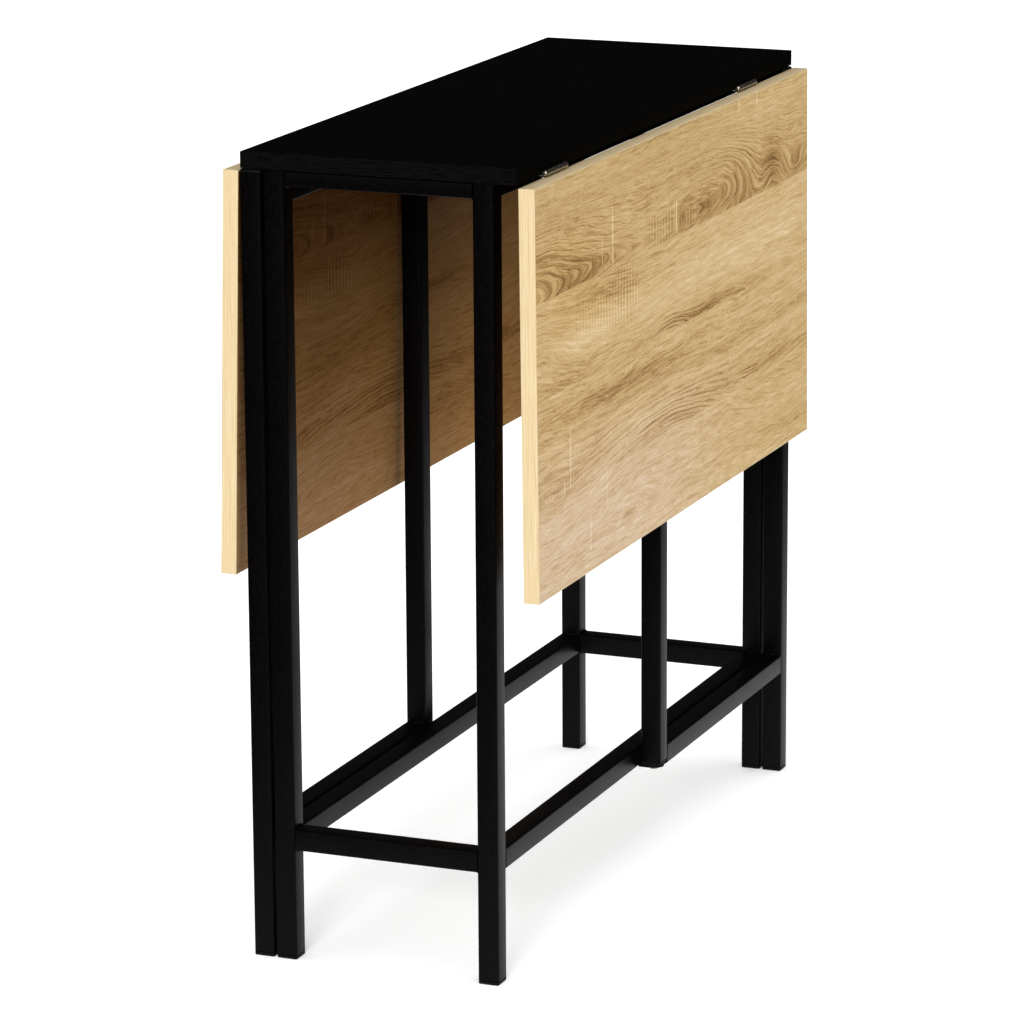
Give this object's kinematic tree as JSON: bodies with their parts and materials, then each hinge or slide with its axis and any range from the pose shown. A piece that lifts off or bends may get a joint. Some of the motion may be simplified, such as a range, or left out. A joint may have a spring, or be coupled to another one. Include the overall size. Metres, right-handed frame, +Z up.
{
  "type": "gateleg table",
  "caption": "Narrow folding table with a fixed top on a square-tube steel frame, two hinged drop leaves and a pivoted gate on each long side.",
  "frame": {"origin": "on the floor under the middle of the fixed top", "axes": "+Z up; X across the narrow top, +X to the right leaf; Y along the top, -Y at the end that has the left gate's leg"},
  "size_m": [0.3086, 0.735, 0.745],
  "materials": {
    "black_steel": "satin black powder coat on square steel tube",
    "black_laminate": "smooth black laminate on particle board with black edge banding",
    "oak_laminate": "light rough-sawn oak print laminate on particle board with pale edge banding",
    "plated_steel": "bright zinc plate",
    "black_plastic": "moulded black plastic"
  },
  "bodies": {
    "frame": {"foot_glide_far_left": "black_plastic", "foot_glide_far_right": "black_plastic", "foot_glide_gate_left": "black_plastic", "foot_glide_gate_right": "black_plastic", "foot_glide_near_left": "black_plastic", "foot_glide_near_right": "black_plastic", "gate_bush_left_bottom": "black_plastic", "gate_bush_left_top": "black_plastic", "gate_bush_right_bottom": "black_plastic", "gate_bush_right_top": "black_plastic", "gate_leg_cap_left": "black_plastic", "gate_leg_cap_right": "black_plastic", "gate_leg_left": "black_steel", "gate_leg_right": "black_steel", "gate_post_left": "black_steel", "gate_post_right": "black_steel", "gate_rail_left": "black_steel", "gate_rail_right": "black_steel", "gate_stretcher_left": "black_steel", "gate_stretcher_right": "black_steel", "hinge_left_far_board_plate": "plated_steel", "hinge_left_far_pin": "plated_steel", "hinge_left_near_board_plate": "plated_steel", "hinge_left_near_pin": "plated_steel", "hinge_right_far_board_plate": "plated_steel", "hinge_right_far_pin": "plated_steel", "hinge_right_near_board_plate": "plated_steel", "hinge_right_near_pin": "plated_steel", "leg_far_left": "black_steel", "leg_far_right": "black_steel", "leg_near_left": "black_steel", "leg_near_right": "black_steel", "pivot_bolt_left_bottom": "plated_steel", "pivot_bolt_left_top": "plated_steel", "pivot_bolt_right_bottom": "plated_steel", "pivot_bolt_right_top": "plated_steel", "pivot_lug_left_bottom": "black_steel", "pivot_lug_left_top": "black_steel", "pivot_lug_right_bottom": "black_steel", "pivot_lug_right_top": "black_steel", "stretcher_far": "black_steel", "stretcher_left": "black_steel", "stretcher_near": "black_steel", "stretcher_right": "black_steel", "top_board": "black_laminate", "top_rail_far": "black_steel", "top_rail_left": "black_steel", "top_rail_near": "black_steel", "top_rail_right": "black_steel"},
    "leaf_left": {"hinge_left_far_leaf_plate": "plated_steel", "hinge_left_near_leaf_plate": "plated_steel", "leaf_left": "oak_laminate"},
    "leaf_right": {"hinge_right_far_leaf_plate": "plated_steel", "hinge_right_near_leaf_plate": "plated_steel", "leaf_right": "oak_laminate"}
  },
  "joints": [
    {"name": "leaf_left_lift", "type": "hinge", "parent": "frame", "child": "leaf_left", "pos_m": [-0.134, 0, 0.7312], "axis": [0, 1, 0], "range_deg": [0, 88.5]},
    {"name": "leaf_right_lift", "type": "hinge", "parent": "frame", "child": "leaf_right", "pos_m": [0.134, 0, 0.7312], "axis": [0, -1, 0], "range_deg": [0, 89.5]}
  ]
}
